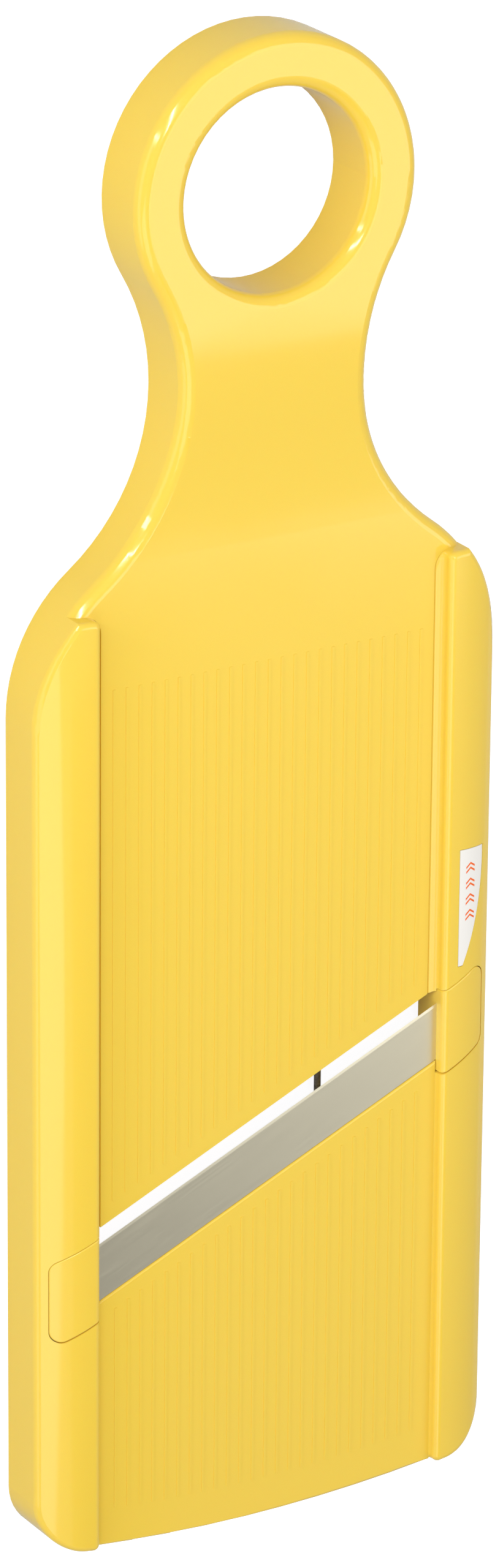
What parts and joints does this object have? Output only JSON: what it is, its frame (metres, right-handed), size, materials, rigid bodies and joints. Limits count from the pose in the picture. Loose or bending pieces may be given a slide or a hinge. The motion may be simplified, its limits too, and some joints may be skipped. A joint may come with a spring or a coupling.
{
  "type": "mandoline slicer",
  "caption": "Flat hand-held vegetable slicer with a round hanging-ring handle, raised side rails, ribbed decks and a slanted steel blade in a lift-out unit.",
  "frame": {"origin": "centre of the bounding box in plan, on the back rim that the slicer lies on", "axes": "+X across to the right, +Y along the length towards the ring handle, +Z out of the slicing side"},
  "size_m": [0.09, 0.2672, 0.013],
  "materials": {
    "body_plastic": "gloss moulded",
    "end_block_plastic": "gloss moulded",
    "blade_steel": "fine ground",
    "pin_steel": "satin",
    "label_film": "satin"
  },
  "bodies": {
    "slicer": {"slicer_body": "body_plastic", "mouth_stay": "pin_steel", "safety_label": "label_film"},
    "blade_unit": {"blade_strip": "blade_steel", "blade_end_right": "end_block_plastic", "blade_end_left": "end_block_plastic", "blade_carrier": "end_block_plastic", "blade_pin_set": "pin_steel"}
  },
  "joints": [
    {"name": "blade_unit_lift", "type": "slide", "parent": "slicer", "child": "blade_unit", "axis": [0, 0, 1], "range_m": [0, 0.02]}
  ]
}
